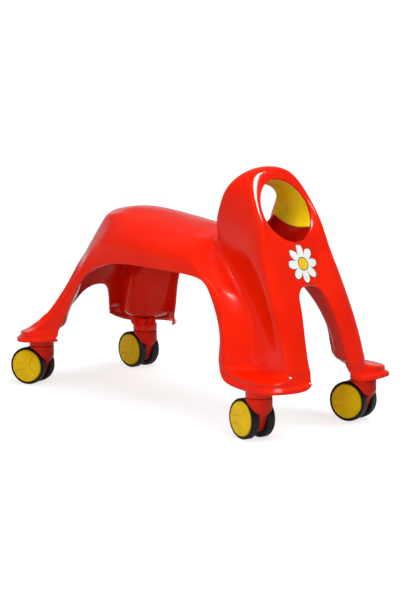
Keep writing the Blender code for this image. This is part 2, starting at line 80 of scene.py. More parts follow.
# Left half, mm. Each column runs down from the shoulder of the saddle, and the columns
# go round from the front centre line to the rear one.
COLUMNS = {
    # front panel: centre line, beside it, rim of the arch and leg, outer crest
    "front_mid": [(0, -196.5, 218), (0, -205, 198), (0, -213.5, 177.5)],
    "front_by": [(16, -196.5, 218), (14, -205.5, 197), (12, -214.5, 175.5)],
    "front_rim": [(33, -195.5, 218), (28, -207, 192), (20.5, -220, 165.5),
                  (24.5, -228.5, 151), (29, -239, 124), (32.3, -249.5, 92)],
    "front_crest": [(53.2, -190.5, 221), (56.2, -201.5, 197), (58.7, -212, 174),
                    (60.5, -222.5, 151), (61.8, -234, 124), (62, -245.5, 93)],
    # side of the head, then the valley between it and the saddle's skirt
    "front_wall": [(48, -140, 224), (50, -156.5, 199), (52.5, -176, 175),
                   (56, -193, 150), (59.5, -205, 123), (62.5, -215.5, 92.5)],
    "valley": [(42, -90, 224), (44, -108.5, 202), (49, -134.5, 178),
               (55.3, -163, 151), (61.3, -180, 123.5), (66.3, -190, 93)],
    # skirt beside the head, then the rear rim of the front leg
    "front_turn": [(45.5, -75, 222), (56.5, -93, 205), (66.5, -116.5, 183.5),
                   (76.5, -141, 157.5), (86, -158.5, 124), (92.5, -167, 93)],
    "front_edge": [(49, -56, 222), (64.5, -76, 209), (75.5, -95.5, 191.5),
                   (79.5, -119, 167), (86.3, -147, 125), (92.1, -153.6, 93)],
    # side of the saddle, above the side arch
    "side_front": [(51, -29, 223.5), (68, -48.5, 212), (77, -71.5, 197.5), (80, -86, 182)],
    "side_mid": [(53, 10, 225), (69.5, 5, 213.5), (78, 0, 199.3), (80.5, -4, 182.5)],
    "side_rear": [(52.5, 56.5, 228.5), (69, 58.5, 214.5), (77.5, 64, 196.5),
                  (80.5, 70, 179)],
    # rear leg: front rim, front crest, groove, rear crest, arch rim
    "rear_edge": [(49.5, 92.5, 231.3), (65.7, 100, 212.5), (76.8, 110, 187),
                  (81.5, 122, 162), (88, 147.5, 130), (94.5, 160.5, 96)],
    "rear_turn": [(46, 115, 232), (62, 120, 209), (73.5, 131, 186),
                  (83, 143.5, 161), (92, 162, 130), (105, 181, 96)],
    "groove_front": [(42, 134, 229.5), (54, 139, 207), (64, 149, 185),
                     (65.5, 159, 161), (74, 168, 130), (84, 186, 96)],
    "groove_rear": [(36, 148, 227), (43, 158, 206), (52, 167, 184),
                    (52, 179.5, 160), (49, 193, 130), (55.5, 208.5, 96)],
    "rear_crest": [(24, 160, 227.5), (27, 177, 206), (33, 187, 184),
                   (41, 201.5, 160), (48.5, 218, 130), (60.5, 238.5, 96)],
    "rear_rim": [(12, 171, 228.5), (13, 186.5, 206), (14, 195.5, 183),
                 (16, 205, 155), (21, 219.5, 119), (34.5, 233.5, 95)],
    "rear_mid": [(0, 175, 229), (0, 189, 207), (0, 196.5, 183),
                 (0, 204.5, 156), (0, 213, 128.3)],
}
HEAD_EDGE = {
    "front_crest": [(50, -180, 246), (47.5, -167.5, 268), (42, -154.5, 290),
                    (27, -147, 307.5), (0, -145.5, 312.5)],
    "front_wall": [(49.8, -137, 246), (49, -134, 268), (44, -133, 290),
                   (27.5, -136, 310), (0, -136, 316)],
    "valley": [(45.5, -94, 246), (47, -101.5, 268), (42.5, -109.3, 290),
               (27, -119.7, 306.5), (0, -124, 312)],
}
# Foot of the head's back, from the centre line to the back corner
NAPE = [(0, -82, 228), (14, -82.5, 227.5), (28, -85, 226)]

# Saddle: the shares of the way out that have points, and its centre line (y, z) from the
# head to the rear
SADDLE_SHARES = (0.0, 0.36, 0.70)
SADDLE_POWER = 2.2
SPINE = [(-62, 228.5), (-42, 230), (-18, 233), (20, 236.8), (62, 241),
         (98, 243.6), (124, 242.8), (148, 238.8)]

# Feet: what each column goes on with below the leg. The leg widens into a pad with an
# upright wall, and the last two points make a narrow flared lip.
FRONT_FOOT = {
    "front_rim": [(33, -254, 82), (33.3, -255, 76), (33.6, -256.2, 70.5),
                  (34.5, -257.8, 68.5), (35, -258.6, 66)],
    "front_crest": [(60.5, -249.5, 82), (58, -253, 75), (54.5, -256, 68),
                    (51, -259.3, 64), (49.5, -260.3, 60)],
    "front_wall": [(66, -226, 79), (87.5, -254, 73.4), (88.2, -255, 67.4),
                   (90.4, -258, 65), (90.7, -258.6, 61)],
    "valley": [(70, -199, 77), (99.8, -229, 73.4), (100.6, -230, 67.4),
               (103.6, -232, 65), (104, -232.5, 61)],
    "front_turn": [(93.2, -170, 81), (95, -179.5, 74.5), (96.5, -181.5, 68.6),
                   (99.2, -182, 66.2), (99.5, -182.2, 62.8)],
    "front_edge": [(93.1, -155.3, 84), (93.5, -156.5, 79.5), (94.2, -158, 76),
                   (95.2, -160.4, 73), (96.2, -164, 69.8)],
}
REAR_FOOT = {
    "rear_edge": [(98.2, 168, 81), (99, 169.3, 75.5), (99.6, 170.3, 71),
                  (100, 171.4, 67.5), (100.6, 173.4, 64.5)],
    "rear_turn": [(115, 197, 81), (121.2, 201, 75), (122.8, 201.6, 68),
                  (126.6, 201.6, 66), (127.2, 201.7, 62.6)],
    "groove_front": [(88, 196, 78), (115.8, 228, 73.6), (117, 229.2, 67.8),
                     (120.6, 230.7, 65.8), (121, 231, 62.3)],
    "groove_rear": [(61.3, 218.1, 79.5), (93.6, 243.8, 73.6), (94.2, 245.8, 68.2),
                    (95.2, 250.2, 66), (95.4, 251, 62.5)],
    "rear_crest": [(66.5, 246, 86.5), (70.5, 251, 79.5), (72.3, 252.8, 72.3),
                   (71.9, 255.6, 70), (72, 256.2, 66.6)],
    "rear_rim": [(41, 241.5, 89), (42, 242.8, 85.5), (43, 243.8, 82.5),
                 (44.8, 245.2, 80), (46.5, 246.4, 77)],
}

# Hand hole: an ellipse on the slanted front panel and another on the head's back, with
# the angle of each design point from the lowest one
HOLE_FRONT = (-171.5, 265.3, 37.5, 42.0, np.radians(29.0))
HOLE_BACK = (-113.0, 264.0, 37.0, 33.0, np.radians(-20.0))
HOLE_ANGLES = np.array((0.0, 21.0, 42.0, 60.0, 80.0, 101.0, 125.0, 152.0, 180.0))


def hole_points(hole, angles, clearance=0.0):
    """Points of a leaning ellipse at angles in degrees from its lowest point:
    x = (a - c) sin t, and the rise (c - b) cos t goes up and back along the slope."""
    y, z, half_width, half_height, slope = hole
    turn = np.radians(angles)
    rise = (clearance - half_height) * np.cos(turn)
    return np.stack([(half_width - clearance) * np.sin(turn), y + rise * np.sin(slope),
                     z + rise * np.cos(slope)], axis=-1)


def to_metres(points):
    """Design points in mm as places in the toy's own frame."""
    return (np.asarray(points, float) - (0.0, MIDDLE_Y, 0.0)) * MM


def piece_from(name, points, faces):
    """A smooth-shaded mesh object at the origin from points in metres and faces."""
    mesh = bpy.data.meshes.new(name)
    mesh.from_pydata(points.tolist(), [], faces.tolist())
    mesh.shade_smooth()
    piece = bpy.data.objects.new(name, mesh)
    bpy.context.scene.collection.objects.link(piece)
    return piece


def set_levels(modifier, level):
    """The same number of subdivisions in view and in render."""
    modifier.levels = level
    modifier.render_levels = level


def soften(piece, name, width, angle):
    """Rounds the edges that turn by more than an angle in degrees. Width in mm."""
    bevel = piece.modifiers.new(name, "BEVEL")
    bevel.width = width * MM
    bevel.segments = 2
    bevel.limit_method = "ANGLE"
    bevel.angle_limit = np.radians(angle)


def finished_mesh(piece):
    """The piece's mesh with its modifiers applied."""
    bpy.context.view_layer.update()
    graph = bpy.context.evaluated_depsgraph_get()
    return bpy.data.meshes.new_from_object(piece.evaluated_get(graph))


def corner_array(mesh):
    """The mesh's points as an array of rows."""
    flat = np.empty(len(mesh.vertices) * 3)
    mesh.vertices.foreach_get("co", flat)
    return flat.reshape(-1, 3)


class Cage:
    """Design points in rows, and the quads between neighbouring rows."""

    def __init__(self):
        self.points = np.empty((0, 3))
        self.faces = []
        self.firm = []

    def row(self, points):
        """Adds a row of points and gives their numbers."""
        start = len(self.points)
        self.points = np.vstack([self.points, points])
        return np.arange(start, len(self.points))

    def strip(self, ahead, behind):
        """Quads (a_i, b_i, b_i+1, a_i+1) between two rows."""
        depth = min(len(ahead), len(behind))
        a, b = ahead[:depth], behind[:depth]
        self.faces.append(np.stack([a[:-1], b[:-1], b[1:], a[1:]], axis=1))

    def crease(self, row, firmness):
        """Marks the edges along a row as firm."""
        self.firm += [(frozenset(pair), firmness) for pair in zip(row[:-1], row[1:])]


ring = list(COLUMNS)
saddle_ring = ring[ring.index("valley"):ring.index("groove_rear") + 1]
cage = Cage()
column = {}
for name in ring:
    foot = FRONT_FOOT.get(name, []) + REAR_FOOT.get(name, [])
    column[name] = cage.row(np.array(COLUMNS[name] + foot, float))
for left, right in zip(ring, ring[1:]):
    cage.strip(column[left], column[right])

# Saddle: across each station the height falls from the spine's to the shoulder's as
# a power of the share of the way out
nape = np.append(cage.row(NAPE), column["valley"][0])
lines = [nape]
share = np.array(SADDLE_SHARES)
for (spine_y, spine_z), station in zip(SPINE, saddle_ring[1:-1]):
    x, y, z = COLUMNS[station][0]
    rise = z + (spine_z - z) * (1.0 - share ** SADDLE_POWER)
    across = np.column_stack([x * share, spine_y + (y - spine_y) * share, rise])
    lines.append(np.append(cage.row(across), column[station][0]))
behind_saddle = reversed(ring[ring.index("groove_rear"):])
lines.append(np.array([column[name][0] for name in behind_saddle]))
for ahead, behind in zip(lines, lines[1:]):
    cage.strip(ahead, behind)

# Head: the edge strips, then the panel and the head's back, each round its own hole
edge = {name: np.append(column[name][0], cage.row(HEAD_EDGE[name])) for name in HEAD_EDGE}
cage.strip(edge["front_crest"], edge["front_wall"])
cage.strip(edge["front_wall"], edge["valley"])
panel = [column[name][0] for name in ("front_mid", "front_by", "front_rim")]
hole_front = cage.row(hole_points(HOLE_FRONT, HOLE_ANGLES))
hole_back = cage.row(hole_points(HOLE_BACK, HOLE_ANGLES))
cage.strip(np.append(panel, edge["front_crest"]), hole_front)
cage.strip(hole_back, np.append(nape[:-1], edge["valley"]))

for start, ramp in enumerate(CREST_RAMP):
    cage.crease(column["front_crest"][start:start + 2], ramp * CREST_FIRMNESS)
cage.crease(column["front_crest"][len(CREST_RAMP):10], CREST_FIRMNESS)
for name in ("front_turn", "rear_turn", "rear_crest"):
    cage.crease(column[name][:9], CREST_FIRMNESS)
cage.crease(column["valley"][:7], VALLEY_FIRMNESS)
for foot in (FRONT_FOOT, REAR_FOOT):
    for back, firmness in ((4, PAD_FIRMNESS), (3, LIP_FIRMNESS), (2, LIP_FIRMNESS)):
        cage.crease(np.array([column[name][-back] for name in foot])[1:-1], firmness)

shell = piece_from("moulded_shell", to_metres(cage.points), np.vstack(cage.faces))
bm = bmesh.new()
bm.from_mesh(shell.data)
bmesh.ops.recalc_face_normals(bm, faces=bm.faces)
bm.verts.ensure_lookup_table()
if bm.verts[lines[3][0]].link_faces[0].normal.z < 0.0:
    bmesh.ops.reverse_faces(bm, faces=bm.faces)
layer = bm.edges.layers.float.new("crease_edge")
for pair, firmness in cage.firm:
    start, end = (bm.verts[int(index)] for index in pair)
    bm.edges.get((start, end))[layer] = firmness
bm.to_mesh(shell.data)
bm.free()
shell.data.shade_smooth()
mirror = shell.modifiers.new("Other side", "MIRROR")
mirror.merge_threshold = 0.00005
mirror.use_clip = True
set_levels(shell.modifiers.new("Smooth", "SUBSURF"), SHELL_LEVEL)

# Moves the cage until the smooth surface passes through the design points: each round
# adds to every cage point what its own surface point still lacks
targets = corner_array(shell.data)
on_middle = targets[:, 0] == 0.0
for _ in range(FIT_ROUNDS):
    smooth = finished_mesh(shell)
    reached = corner_array(smooth)[:len(targets)]
    bpy.data.meshes.remove(smooth)
    moved = corner_array(shell.data) + (targets - reached)
    moved[on_middle, 0] = 0.0
    shell.data.vertices.foreach_set("co", moved.ravel())
    shell.data.update()
wall = shell.modifiers.new("Wall", "SOLIDIFY")
wall.thickness = SHELL_WALL
wall.offset = -1.0
wall.use_even_offset = True
wall.use_quality_normals = True
soften(shell, "Rounded rim", 0.7, 60.0)


def linear(code):
    """sRGB hex code as linear red, green, blue and full alpha: c / 12.92 below 0.04045,
    and ((c + 0.055) / 1.055) to the power 2.4 above it."""
    c = np.array([int(code[i:i + 2], 16) for i in (1, 3, 5)]) / 255.0
    return (*np.where(c <= 0.04045, c / 12.92, ((c + 0.055) / 1.055) ** 2.4), 1.0)


def add(tree, kind, links=(), values=(), **settings):
    """Adds a node with its settings, its input values and its links from other sockets."""
    node = tree.nodes.new(kind)
    for name, value in settings.items():
        setattr(node, name, value)
    for name, value in dict(values).items():
        node.inputs[name].default_value = value
    for name, source in dict(links).items():
        tree.links.new(source, node.inputs[name])
    return node


def new_material(name, **sockets):
    """A material with one Principled shader, whose plain values are set on its sockets,
    and the position of each point on the toy."""
    material = bpy.data.materials.new(name)
    material.use_nodes = True
    tree = material.node_tree
    shader = tree.nodes["Principled BSDF"]
    for socket, value in sockets.items():
        shader.inputs[socket.replace("_", " ")].default_value = value
    place = add(tree, "ShaderNodeTexCoord").outputs["Object"]
    return material, tree, shader, place


def moulded(name, low, high, rough, ripple, ripple_height, cloud, **sockets):
    """Moulded plastic. Colour drifts between two shades over cloud mm, roughness follows
    a finer noise, and the surface has a ripple of the given width and height in mm."""
    material, tree, shader, place = new_material(name, **sockets)
    drift = add(tree, "ShaderNodeTexNoise", {"Vector": place},
                {"Scale": 1.0 / (cloud * MM), "Detail": 2.0, "Roughness": 0.5})
    shade = add(tree, "ShaderNodeValToRGB", {"Fac": drift.outputs["Fac"]})
    shade.color_ramp.elements[0].position = 0.35
    shade.color_ramp.elements[0].color = linear(low)
    shade.color_ramp.elements[1].position = 0.65
    shade.color_ramp.elements[1].color = linear(high)
    haze = add(tree, "ShaderNodeTexNoise", {"Vector": place},
               {"Scale": 4.0 / (cloud * MM), "Detail": 4.0, "Roughness": 0.6})
    sheen = add(tree, "ShaderNodeMapRange", {"Value": haze.outputs["Fac"]},
                {"From Min": 0.3, "From Max": 0.7, "To Min": rough[0], "To Max": rough[1]})
    peel = add(tree, "ShaderNodeTexNoise", {"Vector": place},
               {"Scale": 1.0 / (ripple * MM), "Detail": 1.0})
    relief = add(tree, "ShaderNodeBump", {"Height": peel.outputs["Fac"]},
                 {"Strength": 1.0, "Distance": ripple_height * MM})
    tree.links.new(shade.outputs["Color"], shader.inputs["Base Color"])
    tree.links.new(sheen.outputs["Result"], shader.inputs["Roughness"])
    tree.links.new(relief.outputs["Normal"], shader.inputs["Normal"])
    return material


# Polyethylene from a polished tool: a wet-looking skin with a faint orange peel, so
# lamp reflections are bright with slightly wavy edges
red_polyethylene = moulded("glossy moulded red polyethylene", "#EC1C01", "#F22202",
                            (0.10, 0.15), 7.0, 0.04, 60.0, IOR=1.28)
shell.data.materials.append(red_polyethylene)
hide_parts("body_shell")
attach(shell, "body")

# ---------------------------------------------------------------------------
# Caster sockets: stub tubes under the foot-rests, moulded in one with the body, each
# held by four small gusset ribs on its inner side. A steel bush is pressed into the bore.
SWIVELS = {
    "front_right": (-85.5, -221.0, 84.5),
    "front_left": (85.5, -221.0, 105.6),
    "rear_right": (-88.0, 221.0, 113.9),
    "rear_left": (88.0, 221.0, 92.1),
}
SOCKET_PROFILE = [(0.0, 67.5), (6.8, 67.5), (6.8, 53.0), (16.4, 53.0), (16.4, 60.5),
                  (14.4, 65.0), (13.4, 70.8), (0.0, 70.8)]
RIB_PROFILE = [(10.0, 72.0), (22.5, 72.0), (22.0, 69.8), (17.6, 60.5), (10.0, 60.5)]
RIB_HALF = 1.1                   # half thickness of a rib, mm
RIB_ANGLES = (-66.0, -22.0, 22.0, 66.0)


def rounded(profile, radius, steps=4):
    """Profile with each inner corner P drawn as a curve: (1-t)^2 A + 2t(1-t) P + t^2 B,
    where A and B lie the radius away from P along its two sides."""
    p = np.array(profile, float)
    ahead = p[2:] - p[1:-1]
    back = p[:-2] - p[1:-1]
    ahead_length = np.linalg.norm(ahead, axis=1, keepdims=True)
    back_length = np.linalg.norm(back, axis=1, keepdims=True)
    reach = np.minimum(radius, 0.45 * np.minimum(ahead_length, back_length))
    a = p[1:-1] + back / back_length * reach
    b = p[1:-1] + ahead / ahead_length * reach
    t = np.linspace(0.0, 1.0, steps + 1)[:, None, None]
    curve = (1 - t) ** 2 * a + 2 * t * (1 - t) * p[1:-1] + t ** 2 * b
    return np.vstack([p[:1], curve.transpose(1, 0, 2).reshape(-1, 2), p[-1:]])


def turned(profile, steps):
    """Points and faces of a profile of (radius, height) in mm swept round Z:
    (r cos a, r sin a, h) on a grid of profile point by angle."""
    radius, height = np.array(profile, float).T
    angle = np.linspace(0.0, 2 * np.pi, steps, endpoint=False)
    grid = np.stack(np.broadcast_arrays(radius[:, None] * np.cos(angle),
                                        radius[:, None] * np.sin(angle),
                                        height[:, None]), axis=-1)
    return grid.reshape(-1, 3), wrapped_faces(len(radius), steps)


def wrapped_faces(rows, columns, closed_rows=False):
    """Quads of a grid whose columns close on themselves, and its rows too if asked."""
    index = np.arange(rows * columns).reshape(rows, columns)
    if closed_rows:
        index = np.vstack([index, index[:1]])
    right = np.roll(index, -1, axis=1)
    return np.stack([index[:-1], right[:-1], right[1:], index[1:]], axis=-1).reshape(-1, 4)


def closed_piece(name, parts):
    """One object from several (points in metres, faces): doubles are merged, which
    closes the poles, and faces are turned outwards."""
    starts = np.cumsum([0] + [len(points) for points, _ in parts])
    points = np.vstack([points for points, _ in parts])
    faces = np.vstack([faces + start for (_, faces), start in zip(parts, starts)])
    piece = piece_from(name, points, faces)
    bm = bmesh.new()
    bm.from_mesh(piece.data)
    bmesh.ops.remove_doubles(bm, verts=bm.verts, dist=MERGE)
    bmesh.ops.dissolve_degenerate(bm, edges=bm.edges, dist=MERGE / 2)
    bmesh.ops.recalc_face_normals(bm, faces=bm.faces)
    bm.to_mesh(piece.data)
    bm.free()
    piece.data.shade_smooth()
    piece.data.set_sharp_from_angle(angle=SHARP_ANGLE)
    return piece


def placed(points, frame):
    """Points in mm taken through a 4 x 4 frame whose place is in metres."""
    return points * MM @ frame[:3, :3].T + frame[:3, 3]


def swivel_frame(corner, turn=0.0):
    """A caster's frame: origin on the floor under its swivel axis, X along its trail."""
    x, y, trail = SWIVELS[corner]
    frame = np.array(Matrix.Rotation(np.radians(trail + turn), 4, "Z"))
    frame[:3, 3] = to_metres((x, y, 0.0))
    return frame


def prism(outline, half):
    """Points and faces of a plate: an outline of (x, z) in mm carried from -half to half
    along Y, as four rows of a grid. The outer rows gather at the outline's middle."""
    outline = np.array(outline, float)
    hub = np.broadcast_to(outline.mean(axis=0), outline.shape)
    flat = np.stack([hub, outline, outline, hub])
    side = np.broadcast_to(np.array([-half, -half, half, half])[:, None], flat.shape[:2])
    grid = np.stack([flat[..., 0], side, flat[..., 1]], axis=-1)
    return grid.reshape(-1, 3), wrapped_faces(4, len(outline))


for corner in SWIVELS:
    points, faces = turned(rounded(SOCKET_PROFILE, 0.7), 96)
    parts = [(placed(points, swivel_frame(corner)), faces)]
    x, y, trail = SWIVELS[corner]
    inwards = np.degrees(np.arctan2(-np.sign(y) * 0.5, -np.sign(x))) - trail
    for rib in RIB_ANGLES:
        points, faces = prism(RIB_PROFILE, RIB_HALF)
        parts.append((placed(points, swivel_frame(corner, inwards + rib)), faces))
    socket = closed_piece("socket_" + corner, parts)
    socket.data.materials.append(red_polyethylene)
    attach(socket, "body")

# ---------------------------------------------------------------------------
# Grip liner: a yellow sleeve of softer plastic that is held between the front and back
# walls of the head. It makes the roof and upper sides of the hand hole, which is open
# to the hollow of the head below it.
LINER_SHARE = (0.0, 0.24, 0.5, 0.75, 1.0)
LINER_START = (54.0, 48.0, 49.5, 57.0, 68.0)
LINER_INSET = (0.5, 0.5, 2.7)    # mm inside the hole: in front, before the back wall, in it
LINER_GAPS = (3.6, 0.4)          # mm from the front face and from the head's back
LINER_WALL = 1.9 * MM
LINER_ROWS, LINER_COLUMNS = 25, 73
depth = np.linspace(0.0, 1.0, LINER_ROWS)[:, None]
start = np.interp(depth, LINER_SHARE, LINER_START)
kernel = np.ones(5) / 5
start = np.convolve(np.pad(start.ravel(), 2, "edge"), kernel, "valid")[:, None]
angle = start + (360.0 - 2 * start) * np.linspace(0.0, 1.0, LINER_COLUMNS)
inset = np.interp(depth, (0.0, 0.8, 0.95), LINER_INSET)
near = hole_points(HOLE_FRONT, angle, inset)
far = hole_points(HOLE_BACK, angle, inset)
length = far[..., 1:2] - near[..., 1:2]
reach = LINER_GAPS[0] + depth[..., None] * (length - sum(LINER_GAPS))
grid = to_metres(near + (far - near) * reach / length)
index = np.arange(angle.size).reshape(angle.shape)
faces = np.stack([index[:-1, :-1], index[:-1, 1:], index[1:, 1:], index[1:, :-1]], axis=-1)
liner = piece_from("grip_liner", grid.reshape(-1, 3), faces.reshape(-1, 4))
middle_face = liner.data.polygons[(LINER_ROWS // 2) * (LINER_COLUMNS - 1)
                                  + LINER_COLUMNS // 2]
if middle_face.normal.z < 0.0:
    liner.data.flip_normals()
wall = liner.modifiers.new("Wall", "SOLIDIFY")
wall.thickness = LINER_WALL
wall.offset = 1.0
wall.use_even_offset = True
soften(liner, "Soft edges", 0.5, 50.0)

# Low-density polyethylene: a waxy satin yellow, with broad soft reflections
yellow_polyethylene = moulded("satin moulded yellow polyethylene", "#E4C000", "#ECCB04",
                              (0.30, 0.38), 5.0, 0.04, 40.0, IOR=1.30)
liner.data.materials.append(yellow_polyethylene)
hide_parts("handle_liner")
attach(liner, "body")

# ---------------------------------------------------------------------------
# Print: a daisy in three gloss inks, pad printed on the front panel below the hand hole.
# It is a skin a tenth of a millimetre thick that follows the panel.
PRINT_Z = 203.0
PRINT_FROM_Y = -320.0            # a plane ahead of the toy, from which the print is laid on
PRINT_RADIUS = 23.0
EYE_RADIUS = 7.0
NOTCH_RADIUS = 10.2
OUTLINE = 1.0
PETALS = 8
INK = 0.12 * MM


def daisy(steps=480):
    """Rings about the middle of the print by angle t, in mm: shares of the eye's radius,
    its outline, shares of the fill, and the petal edge N + (R - N) |cos(n t / 2)|^0.45.
    The outline inside that edge widens in the notches. Also gives each face's ink."""
    angle = np.linspace(0.0, 2 * np.pi, steps, endpoint=False)
    lobe = np.abs(np.cos(PETALS * angle / 2)) ** 0.45
    petal = NOTCH_RADIUS + (PRINT_RADIUS - NOTCH_RADIUS) * lobe
    eye = np.full(steps, EYE_RADIUS)
    lined = eye + OUTLINE
    fill = np.maximum(petal - OUTLINE * (1.0 + 2.5 * (1.0 - lobe)), lined + 0.3)
    rings = [eye * share for share in (0.0, 0.35, 0.7, 1.0)] + [lined]
    rings += [lined + (fill - lined) * share for share in (0.33, 0.67, 1.0)] + [petal]
    return np.array(rings), angle, np.repeat((0, 0, 0, 1, 2, 2, 2, 1), steps)


radius, angle, ink = daisy()
grid = np.stack([radius * np.sin(angle), np.full_like(radius, PRINT_FROM_Y),
                 PRINT_Z + radius * np.cos(angle)], axis=-1)
bpy.context.view_layer.update()
panel_surface = shell.evaluated_get(bpy.context.evaluated_depsgraph_get())
skin = []
for start in to_metres(grid).reshape(-1, 3):
    _, hit, normal, _ = panel_surface.ray_cast(Vector(start), Vector((0.0, 1.0, 0.0)))
    skin.append(hit + normal * INK)
daisy_print = piece_from("daisy_print", np.array(skin), wrapped_faces(*radius.shape))
daisy_print.data.polygons.foreach_set("material_index", ink)
bm = bmesh.new()
bm.from_mesh(daisy_print.data)
bmesh.ops.remove_doubles(bm, verts=bm.verts, dist=MERGE)
bmesh.ops.recalc_face_normals(bm, faces=bm.faces)
bm.faces.ensure_lookup_table()
if bm.faces[0].normal.y > 0.0:
    bmesh.ops.reverse_faces(bm, faces=bm.faces)
bm.to_mesh(daisy_print.data)
bm.free()
wall = daisy_print.modifiers.new("Wall", "SOLIDIFY")
wall.thickness = 0.8 * INK
wall.offset = -1.0

# Printing inks: thin flat colours, a little duller than the panel under them
for name, low, high in (("yellow printing ink", "#F0BE00", "#F4C406"),
                        ("black printing ink", "#131214", "#19181A"),
                        ("white printing ink", "#EFEDE9", "#F4F2EF")):
    printed = moulded(name, low, high, (0.22, 0.30), 2.0, 0.01, 15.0)
    daisy_print.data.materials.append(printed)
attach(daisy_print, "body")

# ---------------------------------------------------------------------------
# Stems, bushes, clips and axles: turned steel, bright zinc plated. They are the CAD's
# own solids, which show only in the narrow gaps of the casters.
zinc_steel, tree, shader, place = new_material("bright zinc-plated turned steel",
                                               Metallic=1.0)
turning = add(tree, "ShaderNodeTexNoise", {"Vector": place},
              {"Scale": 1.0 / (1.2 * MM), "Detail": 3.0})
tone = add(tree, "ShaderNodeValToRGB", {"Fac": turning.outputs["Fac"]})
tone.color_ramp.elements[0].color = linear("#A8A9AC")
tone.color_ramp.elements[1].color = linear("#C9CACD")
dull = add(tree, "ShaderNodeMapRange", {"Value": turning.outputs["Fac"]},
           {"To Min": 0.25, "To Max": 0.45})
tree.links.new(tone.outputs["Color"], shader.inputs["Base Color"])
tree.links.new(dull.outputs["Result"], shader.inputs["Roughness"])
for name, node in frame["nodes"].items():
    if name.endswith(("_stem", "_stem_bush", "_stem_clip", "_axle")):
        node.data.materials.clear()
        node.data.materials.append(zinc_steel)

# ---------------------------------------------------------------------------
# Caster forks: a round neck over a web that carries the axle. Each is moulded in red
# nylon, hollowed on both sides where the wheels run, and turns under its socket.
TRAIL = 14.0
AXLE_HEIGHT = 25.0
HALF_WEB = 5.3
NECK_PROFILE = [(0.0, 52.2), (16.4, 52.2), (16.4, 38.0), (8.6, 27.0), (3.0, 14.0),
                (0.0, 13.0)]
WEB_FRONT = [(-8.3, 48.0), (-8.3, 27.0), (-2.0, 12.0), (1.5, 10.0), (8.0, 8.5)]
WELL_RADIUS = 26.0
WELL_DEPTH = 25.0                # from the middle of the fork out past the wheel
BOSS_RADIUS = 11.0


def cut(piece, tool, operation):
    """Joins a tool to a piece or cuts it out, exactly, and keeps the piece."""
    boolean = piece.modifiers.new(operation.title(), "BOOLEAN")
    boolean.operation = operation
    boolean.solver = "EXACT"
    boolean.use_self = True
    boolean.object = tool


def axle_frame(side):
    """A caster's axle: origin in its middle plane, Z out through one side's wheel."""
    frame = np.array(Matrix.Rotation(-side * np.pi / 2, 4, "X"))
    frame[:3, 3] = (TRAIL * MM, 0.0, AXLE_HEIGHT * MM)
    return frame


boss = np.radians(np.linspace(-62.0, 60.0, 13))
web = WEB_FRONT + [(TRAIL + BOSS_RADIUS * np.cos(a), AXLE_HEIGHT + BOSS_RADIUS * np.sin(a))
                   for a in boss]
web += [(14.5, 41.0), (14.5, 48.0)]
points, faces = turned(rounded(NECK_PROFILE, 1.2), 96)
neck = closed_piece("fork_pattern", [(points * MM, faces)])
points, faces = prism(rounded(web + web[:2], 1.0)[1:-1], HALF_WEB)
tools = [closed_piece("web", [(points * MM, faces)])]
cut(neck, tools[0], "UNION")
for side in (-1, 1):
    well, well_faces = turned([(0.0, HALF_WEB), (WELL_RADIUS, HALF_WEB),
                               (WELL_RADIUS, WELL_DEPTH), (0.0, WELL_DEPTH)], 128)
    tools.append(closed_piece("well", [(placed(well, axle_frame(side)), well_faces)]))
    cut(neck, tools[-1], "DIFFERENCE")
soften(neck, "Soft edges", 0.45, 35.0)
fork_mesh = finished_mesh(neck)
for item in tools + [neck]:
    bpy.data.objects.remove(item, do_unlink=True)

# Glass-filled nylon: the same red but drier, with wider and weaker reflections
red_nylon = moulded("satin moulded red nylon", "#DE2108", "#E8270B", (0.30, 0.42), 3.0,
                    0.04, 25.0, IOR=1.25)
for corner in SWIVELS:
    fork = bpy.data.objects.new("fork_" + corner, fork_mesh.copy())
    bpy.context.scene.collection.objects.link(fork)
    placing = swivel_frame(corner)
    fork.data.transform(Matrix(placing))
    fork.data.shade_smooth()
    fork.data.set_sharp_from_angle(angle=SHARP_ANGLE)
    fork.data.materials.clear()
    fork.data.materials.append(red_nylon)
    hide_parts(corner + "_fork")
    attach(fork, corner + "_caster")

# ---------------------------------------------------------------------------
# Wheels: black, rounded treads moulded over a hub, two to a caster. The outer face has
# a shallow seat for the hub cap.
WHEEL_PROFILE = [(21.9, 13.0), (21.9, 16.6), (22.6, 17.4), (23.6, 17.4), (25.0, 15.4),
                 (25.0, 7.6), (23.6, 5.6), (8.0, 5.6), (7.4, 6.2), (2.8, 6.2),
                 (2.8, 13.0), (21.9, 13.0)]
black_rubber = moulded("satin black thermoplastic rubber", "#0B0A0C", "#111012",
                       (0.38, 0.52), 1.6, 0.05, 12.0, IOR=1.35)
wheel_points, wheel_faces = turned(rounded(WHEEL_PROFILE, 0.9), 128)

# Hub caps: shallow yellow domes snapped into the wheels, with a raised ring at the rim
# and a raised swirl of three arms between three scooped bays.
CAP_RADIUS = 21.6
CAP_BACK = 13.3
CAP_DOME = 1.2
CAP_DEPTH = 3.6                  # from its back to the foot of the dome
RIM_DROP = 1.3
RING_INNER = 18.9
RING_HEIGHT = 0.6
BAY_START, BAY_SPREAD = 0.33, 0.84
BAY_SOFT = 0.03
SWIRL_HEIGHT = 0.6
GROOVE_DEPTH = 1.0
BAY_TURN = np.radians(-50.0)


def step(value, low, high):
    """Smooth step from 0 at low to 1 at high: 3t^2 - 2t^3."""
    t = np.clip((value - low) / (high - low), 0.0, 1.0)
    return t * t * (3 - 2 * t)


